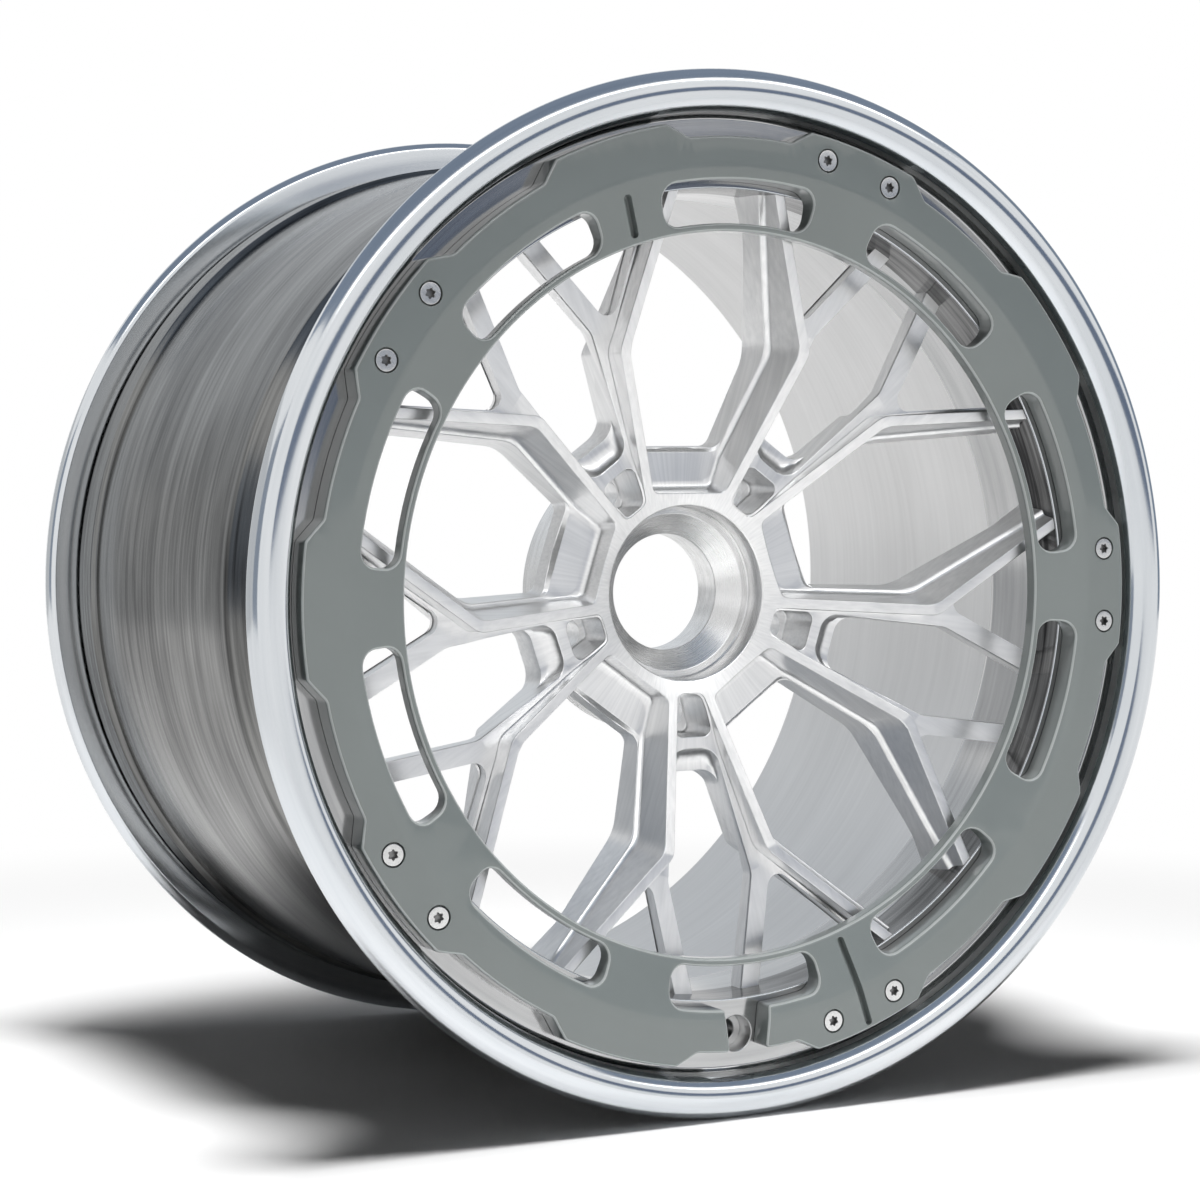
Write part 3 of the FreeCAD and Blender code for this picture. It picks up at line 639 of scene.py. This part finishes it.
pad_path = np.array([(PAD_RADIUS - 0.5, 0), (PAD_RADIUS, -0.5), (PAD_RADIUS, BACK[0])])
spoke_parts.append((turned(pad_path, HUB_COUNT), ring_faces(3, HUB_COUNT), FACED))
rim_path = np.array([(SPOKE_END, BACK[-1]), (SPOKE_END, LAND[-1])])
spoke_parts.append((turned(rim_path, SPOKE_COUNT), ring_faces(2, SPOKE_COUNT), MILLED))
spoke_parts += [(*fill, MILLED) for fill in fills]

cutter_marks, marks_in, marks_out = new_group("cutter_marks", [("Fine", 420.0)], ["Lines", "Stains"])
radius, depth, angle, x, z = polar_parts(cutter_marks)
across_turn = maths(cutter_marks, "MULTIPLY", angle, 0.14)
across_run = maths(cutter_marks, "MULTIPLY", across_turn, marks_in.outputs["Fine"])
down_run = maths(cutter_marks, "MULTIPLY", depth, marks_in.outputs["Fine"])
along_run = maths(cutter_marks, "MULTIPLY", radius, 9.0)
runs = (across_run, down_run, along_run)
cutter_marks.links.new(noise_at(cutter_marks, *runs, 1.0, 3.0), marks_out.inputs["Lines"])
broad_parts = [maths(cutter_marks, "MULTIPLY", part, 28.0) for part in (x, depth, z)]
patch = noise_at(cutter_marks, *broad_parts, 1.0, 2.0)
slow_runs = [maths(cutter_marks, "MULTIPLY", part, 0.4) for part in runs]
streak = noise_at(cutter_marks, *slow_runs, 1.0, 3.0)
faint_patch = maths(cutter_marks, "MULTIPLY", patch, 0.4)
stains = maths(cutter_marks, "MULTIPLY_ADD", streak, 0.6, faint_patch)
cutter_marks.links.new(stains, marks_out.inputs["Stains"])
milled_metal = bare_metal("milled_aluminium", cutter_marks, {"Fine": 900.0},
                          (0.72, 0.725, 0.73), (0.90, 0.90, 0.90), 0.31, 0.12, 0.000008, 0.2)
hub_metal = bare_metal("turned_hub", turning_lines, {"Pitch": 2200.0, "Run": 0.8},
                       (0.66, 0.66, 0.66), (0.86, 0.86, 0.86), 0.27, 0.14, 0.000006, 0.12)
spokes = piece("spokes", spoke_parts, [milled_metal, hub_metal],
               "forged_wheel", 24)

# The cover ring: an aluminium band, cast and milled, then sprayed with grey gloss paint.
# Ten long slots and ten outer notches lighten it, one slot is open towards the valve, and
# two radial grooves are cut in its front. Its inner half slopes back towards the spokes.
RING_FRONT, RING_OUTER, RING_INNER = -107.0, 247.0, 190.4
RING_EDGE, RING_COUNT = 1.8, 240
PAINT, EDGE_HIGHLIGHT = range(2)
# Painted highlight: the outer bands of each rounded edge take a lighter paint that stands in for the
# light lines the gloss reflects there.
EDGE_BANDS = [PAINT, PAINT, PAINT, EDGE_HIGHLIGHT, EDGE_HIGHLIGHT, PAINT]
SLOT_TURN, SLOTS = 36, 10
SLOT_INNER, SLOT_OUTER, SLOT_HALF_ANGLE, SLOT_ROUND = 194.5, 216.7, 12.5, 8.5
NOTCH_RADIUS, GROOVE_DEPTH, GROOVE_STEP = 239, 4.6, 1.5
FRONT_RADII = np.array([RING_INNER, 221.6, 222.9, 224.7, 226.0, RING_OUTER])
FRONT_DEPTHS = np.array([-100.9, -106.6, -106.79, -106.95, -107.0, -107.0])


def bent_path(corners, radii, closed, arc_steps=6, side_steps=8):
    """A rounded path drawn on the unrolled band and bent round the axis.

    Corners are (degrees, radius); along the band a degree counts as its length at the mean
    radius, so roundings stay round. An open path keeps only the run between its two ends.
    """
    corners = np.array(corners, float)
    scale = math.radians(1) * corners[:, 1].mean()
    path = rounded_path(corners * (scale, 1), radii, arc_steps, side_steps)
    if not closed:
        path = path[arc_steps:len(path) - arc_steps - side_steps]
    angle = np.radians(path[:, 0] / scale)
    return np.stack([path[:, 1] * np.cos(angle), path[:, 1] * np.sin(angle)], -1)


def turned_to(path, angle):
    """A flat path turned about the axis by an angle in degrees."""
    c, s = math.cos(math.radians(angle)), math.sin(math.radians(angle))
    return path @ np.array([[c, s], [-s, c]])


def inset(path, distance):
    """A closed path moved to its left: each point goes along its normal by a distance."""
    run = np.roll(path, -1, 0) - np.roll(path, 1, 0)
    run = run / np.linalg.norm(run, axis=1, keepdims=True)
    return path + np.stack([-run[:, 1], run[:, 0]], -1) * distance


def divided(path, longest):
    """A closed path whose long sides are cut into even lengths."""
    after = np.roll(path, -1, 0)
    counts = np.ceil(np.linalg.norm(after - path, axis=1) / longest).astype(int)
    return np.concatenate([start + (end - start) * np.linspace(0, 1, count, endpoint=False)[:, None]
                           for start, end, count in zip(path, after, counts)])


def front_depth(path):
    """Depth of the ring's front at the radius of each point."""
    return np.interp(np.linalg.norm(path, axis=1), FRONT_RADII, FRONT_DEPTHS)


def ring_wall(path):
    """The ring's wall along an outline: up from the back, then over a quarter-round edge."""
    turn = np.radians([0, 22.5, 45, 67.5, 90])
    insets = np.concatenate([[0.5, 0.0], RING_EDGE * (1 - np.cos(turn))])
    falls = RING_EDGE * (1 - np.sin(turn))
    rows = [inset(path, d) for d in insets]
    front = [front_depth(row) + fall for row, fall in zip(rows[2:], falls)]
    return stacked(rows, [RING_BACK, RING_BACK - 0.5] + front)


notch = [(-18, RING_OUTER), (-10.2, RING_OUTER), (-7.4, NOTCH_RADIUS),
         (7.4, NOTCH_RADIUS), (10.2, RING_OUTER), (18, RING_OUTER)]
slot_corners = [(-SLOT_HALF_ANGLE, SLOT_INNER), (SLOT_HALF_ANGLE, SLOT_INNER),
                (SLOT_HALF_ANGLE, SLOT_OUTER), (-SLOT_HALF_ANGLE, SLOT_OUTER)]
valve_gap = [(-2.57, NOTCH_RADIUS), (-3.54, SLOT_OUTER), slot_corners[3], *slot_corners[:3],
             (3.54, SLOT_OUTER), (2.57, NOTCH_RADIUS)]
plain_run = bent_path(notch, [0, 4, 5, 5, 4, 0], False)
valve_run = bent_path(notch[:3] + valve_gap + notch[3:],
                      [0, 4, 5, 2, 2] + [SLOT_ROUND] * 4 + [2, 2, 5, 4, 0], False)
runs = [turned_to(valve_run, valve_angle)]
runs += [turned_to(plain_run, valve_angle + SLOT_TURN * k) for k in range(1, SLOTS)]
outer_outline = np.concatenate([run[:-1] for run in runs])
slot_outline = bent_path(slot_corners, SLOT_ROUND, True)
ring_outlines = [outer_outline, circle(RING_INNER, RING_COUNT)[::-1]]
ring_outlines += [turned_to(slot_outline, valve_angle + SLOT_TURN * k) for k in range(1, SLOTS)]
ring_walls = [ring_wall(outline) for outline in ring_outlines]
ring_parts = [(wall, ring_faces(*wall.shape[:2]), np.repeat(EDGE_BANDS, wall.shape[1]))
              for wall in ring_walls]

groove_outlines = []
for groove_angle, groove_end, groove_half in ((108, SLOT_OUTER, 2.1), (-72, 244.6, 1.9)):
    groove_corners = [(SLOT_INNER, groove_half), (groove_end, groove_half),
                      (groove_end, -groove_half), (SLOT_INNER, -groove_half)]
    outline = divided(rounded_path(groove_corners, groove_half * 0.9, 6, 1), GROOVE_STEP)
    outline = turned_to(outline, CLOCKING + groove_angle)
    rows = [inset(outline, d) for d in (0.45, 0.2, 0.03, 0.0, -0.25, -0.8)]
    falls = (0, 0.08, 0.4, 3.4, 4.2, GROOVE_DEPTH)
    wall = stacked(rows, [front_depth(row) + fall for row, fall in zip(rows, falls)])
    floor = filled([rows[-1]], FRONT_RADII, FRONT_DEPTHS + GROOVE_DEPTH, True)
    ring_parts.append((wall, ring_faces(*wall.shape[:2])[:, ::-1], PAINT))
    ring_parts.append((*floor, PAINT))
    groove_outlines.append(rows[0])

SCREW_CIRCLE, SCREW_SEAT, SEAT_FLOOR, SCREW_COUNT = 234.6, 6.35, -100.5, 48
PAIR_HALF_ANGLE = 4.98
screw_turns = np.radians([CLOCKING + GROUP_TURN * k + side * PAIR_HALF_ANGLE
                          for k in range(GROUPS) for side in (-1, 1)])
screw_places = SCREW_CIRCLE * np.stack([np.cos(screw_turns), np.sin(screw_turns)], -1)
seat_outlines = []
for place in screw_places:
    rows = [circle(SCREW_SEAT + grow, SCREW_COUNT, place) for grow in (0.35, 0.1, 0.0, 0.0)]
    wall = stacked(rows, (RING_FRONT, RING_FRONT + 0.1, RING_FRONT + 0.4, SEAT_FLOOR))
    ring_parts.append((wall, ring_faces(*wall.shape[:2]), PAINT))
    ring_parts.append((*flat_face(rows[-1:], SEAT_FLOOR, True), PAINT))
    seat_outlines.append(rows[0])
crease_circles = [circle(radius, RING_COUNT) for radius in FRONT_RADII[1:-1]]
front_outlines = [wall[-1][:, [0, 2]] for wall in ring_walls] + groove_outlines + seat_outlines
front_face = filled(front_outlines, FRONT_RADII, FRONT_DEPTHS, True, crease_circles)
ring_parts.append((*front_face, PAINT))
back_outlines = [wall[0][:, [0, 2]] for wall in ring_walls]
ring_parts.append((*flat_face(back_outlines, RING_BACK, False), PAINT))


def gloss_paint(name, dark, light):
    """Sprayed paint under a clear coat: slow clouds in its tone, a fine peel in its skin."""
    material = bpy.data.materials.new(name)
    material.use_nodes = True
    tree = material.node_tree
    shader = tree.nodes["Principled BSDF"]
    shader.inputs["Coat Weight"].default_value = 0.9
    shader.inputs["Coat Roughness"].default_value = 0.05
    place = tree.nodes.new("ShaderNodeTexCoord").outputs["Object"]
    cloud, peel = (tree.nodes.new("ShaderNodeTexNoise") for _ in range(2))
    cloud.inputs["Scale"].default_value, peel.inputs["Scale"].default_value = 24, 700
    tone = tree.nodes.new("ShaderNodeValToRGB")
    low, high = tone.color_ramp.elements
    low.color, high.color = (*dark, 1), (*light, 1)
    skin = tree.nodes.new("ShaderNodeBump")
    skin.inputs["Distance"].default_value = 0.000006
    for texture in (cloud, peel):
        tree.links.new(place, texture.inputs["Vector"])
    tree.links.new(cloud.outputs["Fac"], tone.inputs[0])
    tree.links.new(tone.outputs[0], shader.inputs["Base Color"])
    rough = maths(tree, "MULTIPLY_ADD", peel.outputs["Fac"], 0.08, 0.28)
    tree.links.new(rough, shader.inputs["Roughness"])
    tree.links.new(peel.outputs["Fac"], skin.inputs["Height"])
    tree.links.new(skin.outputs[0], shader.inputs["Normal"])
    return material


ring_paint = gloss_paint("grey_gloss_paint", (0.150, 0.170, 0.167), (0.172, 0.194, 0.190))
# Painted highlight: a lighter grey for the rounded edges, standing in for reflected light lines
# rather than thinner paint.
edge_highlight_paint = gloss_paint("painted_edge_highlight", (0.32, 0.345, 0.34), (0.38, 0.405, 0.40))
cover_ring = piece("cover_ring_painted", ring_parts, [ring_paint, edge_highlight_paint],
                   "cover_ring", 35)

# The ring screws: ten countersunk steel screws in five pairs, with a six-lobed drive recess.
# They are bought in, plated bright, and pull the ring against its seat in the rim.
SHANK_RADIUS, SHANK_END, HEAD_FRONT, RECESS_FLOOR = 3, -100.4, -106.72, -104.2
HEAD_ROWS = ((SHANK_RADIUS, SHANK_END), (SHANK_RADIUS, -103.4), (5.4, -106.2), (5.55, -106.45),
             (5.45, -106.65), (5.15, HEAD_FRONT))
RECESS_ROWS = ((1.12, HEAD_FRONT), (1, -106.5), (0.97, RECESS_FLOOR))
# The drive recess takes a dark material: painted shade for the hollow, not oil.
PLATED, RECESS_SHADE = range(2)
screw_parts = []
lobe = np.linspace(0, 2 * np.pi, SCREW_COUNT, endpoint=False)
lobe_radius = 2.25 + 0.4 * np.cos(6 * lobe)
for place, spin in zip(screw_places, screw_turns):
    star = np.stack([np.cos(lobe + spin), np.sin(lobe + spin)], -1) * lobe_radius[:, None]
    heads = [circle(radius, SCREW_COUNT, place) for radius, _ in HEAD_ROWS]
    drives = [place + star * share for share, _ in RECESS_ROWS]
    for finish, rows, sizes in ((PLATED, heads, HEAD_ROWS), (RECESS_SHADE, drives, RECESS_ROWS)):
        wall = stacked(rows, [depth for _, depth in sizes])
        screw_parts.append((wall, ring_faces(*wall.shape[:2]), finish))
    screw_parts.append((*flat_face(heads[:1], SHANK_END, False), PLATED))
    screw_parts.append((*flat_face([heads[-1], drives[0]], HEAD_FRONT, True), PLATED))
    screw_parts.append((*flat_face(drives[-1:], RECESS_FLOOR, True), RECESS_SHADE))
screw_metal = bare_metal("bright_plated_steel", cutter_marks, {"Fine": 1500.0},
                         (0.62, 0.62, 0.62), (0.74, 0.74, 0.73), 0.26, 0.1, 0.000005)
# Painted shade: the drive recess is coloured dark to stand in for the shade inside the hollow.
recess_shade_metal = bare_metal("recess_steel_painted_shade", cutter_marks, {"Fine": 1500.0},
                          (0.13, 0.13, 0.13), (0.30, 0.30, 0.30), 0.3, 0.1, 0.000005)
screws = piece("ring_screws_bright", screw_parts, [screw_metal, recess_shade_metal],
               "ring_screws", 30)

# The studio: a plain white floor, one soft box overhead and one low at the front that lights the
# wheel alone, cards out of view that only the metal and the gloss paint mirror, and the camera
# on a low stand.
FLOOR = -0.2737
scene = bpy.context.scene
scene.view_settings.view_transform = "Standard"


def flat_panel(name, corners, material):
    """A flat four-cornered stage panel."""
    mesh = bpy.data.meshes.new(name)
    mesh.from_pydata(corners, [], [(0, 1, 2, 3)])
    mesh.materials.append(material)
    panel = bpy.data.objects.new(name, mesh)
    bpy.context.collection.objects.link(panel)
    return panel


def seen_rays(tree):
    """One for rays from the camera, a mirror or glass, and zero for scattered light."""
    rays = tree.nodes.new("ShaderNodeLightPath").outputs
    seen = maths(tree, "MAXIMUM", rays["Is Camera Ray"], rays["Is Glossy Ray"])
    return maths(tree, "MAXIMUM", seen, rays["Is Transmission Ray"])


floor_white = bpy.data.materials.new("floor_white")
floor_white.use_nodes = True
floor_tree = floor_white.node_tree
floor_shader = floor_tree.nodes["Principled BSDF"]
floor_shader.inputs["Base Color"].default_value = (0.92, 0.92, 0.92, 1)
floor_shader.inputs["Roughness"].default_value = 0.9
floor_shader.inputs["Specular IOR Level"].default_value = 0.0
far_white = floor_tree.nodes.new("ShaderNodeEmission")
floor_mix = floor_tree.nodes.new("ShaderNodeMixShader")
floor_place = floor_tree.nodes.new("ShaderNodeTexCoord").outputs["Object"]
floor_far = floor_tree.nodes.new("ShaderNodeVectorMath")
floor_far.operation = "DISTANCE"
floor_tree.links.new(floor_place, floor_far.inputs[0])
floor_far.inputs[1].default_value = (0, 0.05, FLOOR)
fade = floor_tree.nodes.new("ShaderNodeMapRange")
fade.interpolation_type = "SMOOTHSTEP"
fade.inputs["From Min"].default_value, fade.inputs["From Max"].default_value = 0.55, 1.1
floor_tree.links.new(floor_far.outputs["Value"], fade.inputs["Value"])
far_share = maths(floor_tree, "MULTIPLY", seen_rays(floor_tree), fade.outputs[0])
floor_tree.links.new(far_share, floor_mix.inputs[0])
floor_tree.links.new(floor_shader.outputs[0], floor_mix.inputs[1])
floor_tree.links.new(far_white.outputs[0], floor_mix.inputs[2])
floor_tree.links.new(floor_mix.outputs[0], floor_tree.nodes["Material Output"].inputs[0])
floor_corners = [(-9, -6, FLOOR), (9, -6, FLOOR), (9, 14, FLOOR), (-9, 14, FLOOR)]
flat_panel("studio_floor", floor_corners, floor_white)

world = bpy.data.worlds.new("studio")
scene.world = world
world.use_nodes = True
sky = world.node_tree
background = sky.nodes["Background"]
background.inputs["Color"].default_value = (1, 1, 1, 1)
sky_strength = maths(sky, "MULTIPLY_ADD", seen_rays(sky), 0.96, 0.04)
sky.links.new(sky_strength, background.inputs["Strength"])


def mirror_card(name, colour, corners):
    """A card that only mirror-like surfaces see: it gives them a tone to reflect."""
    material = bpy.data.materials.new(name)
    material.use_nodes = True
    shader = material.node_tree.nodes["Principled BSDF"]
    shader.inputs["Base Color"].default_value = (0, 0, 0, 1)
    shader.inputs["Specular IOR Level"].default_value = 0
    shader.inputs["Emission Color"].default_value = (*colour, 1)
    shader.inputs["Emission Strength"].default_value = 1
    card = flat_panel(name, corners, material)
    card.visible_camera = card.visible_diffuse = card.visible_shadow = False


def upright(left, right, top, bottom=FLOOR):
    """Corners of an upright card between two places on the floor plan."""
    return [(*left, bottom), (*right, bottom), (*right, top), (*left, top)]


mirror_card("card_left", (0.62, 0.63, 0.64), upright((-3.6, 0.2), (-1.1, 2.7), 1.2))
mirror_card("card_side", (0.30, 0.34, 0.40), upright((-2.65, -1.3), (-3.6, 0.2), 1.5))
mirror_card("card_back", (0.74, 0.77, 0.80), upright((-1.1, 2.7), (3.2, 2.9), 2.4, 0.42))
mirror_card("card_right", (0.24, 0.29, 0.36), upright((3.2, 2.9), (3.2, -0.4), 2.4, -0.2))
mirror_card("card_front", (0.16, 0.20, 0.28), upright((-0.2, -3.2), (3.0, -1.6), 0.6, 0.04))
mirror_card("card_bright", (4.0, 4.0, 4.0),
            [(-1.6, -2.1, 1.85), (2.6, -2.1, 1.85), (2.6, -1.95, 2.15), (-1.6, -1.95, 2.15)])
mirror_card("card_above", (0.24, 0.29, 0.37),
            [(-2.6, -1.7, 2.4), (3.2, -1.7, 2.4), (3.2, 2.9, 2.4), (-2.6, 2.9, 2.4)])


def lamp(name, place, target, width, height, power):
    """A soft box: a rectangular area light at a place, facing a target."""
    light = bpy.data.lights.new(name, "AREA")
    light.shape = "RECTANGLE"
    light.size, light.size_y, light.energy = width, height, power
    made = bpy.data.objects.new(name, light)
    made.location = place
    made.rotation_euler = (Vector(target) - Vector(place)).to_track_quat("-Z", "Y").to_euler()
    made.visible_glossy = False
    bpy.context.collection.objects.link(made)
    return made


lamp("overhead_box", (-0.2, -0.2, 2.0), (0, 0.05, 0), 0.6, 0.6, 68)
front_box = lamp("front_box", (0.7, -2.4, 0.2), (0, 0, 0), 0.8, 0.8, 29)
front_box_lights = bpy.data.collections.new("front_box_lights")
for lit_piece in (barrel, spokes, cover_ring, screws):
    front_box_lights.objects.link(lit_piece)
front_box.light_linking.receiver_collection = front_box_lights

camera_data = bpy.data.cameras.new("camera")
camera_data.lens = 81.873
camera_data.sensor_width = 36
camera_data.shift_x, camera_data.shift_y = 0.0006, 0.0018
camera = bpy.data.objects.new("camera", camera_data)
camera.location = (-0.72512, -1.33411, 0.05304)
yaw, pitch = math.radians(27.513), math.radians(2.247)
camera.rotation_euler = (math.pi / 2 - pitch, 0, -yaw)
bpy.context.collection.objects.link(camera)
scene.camera = camera
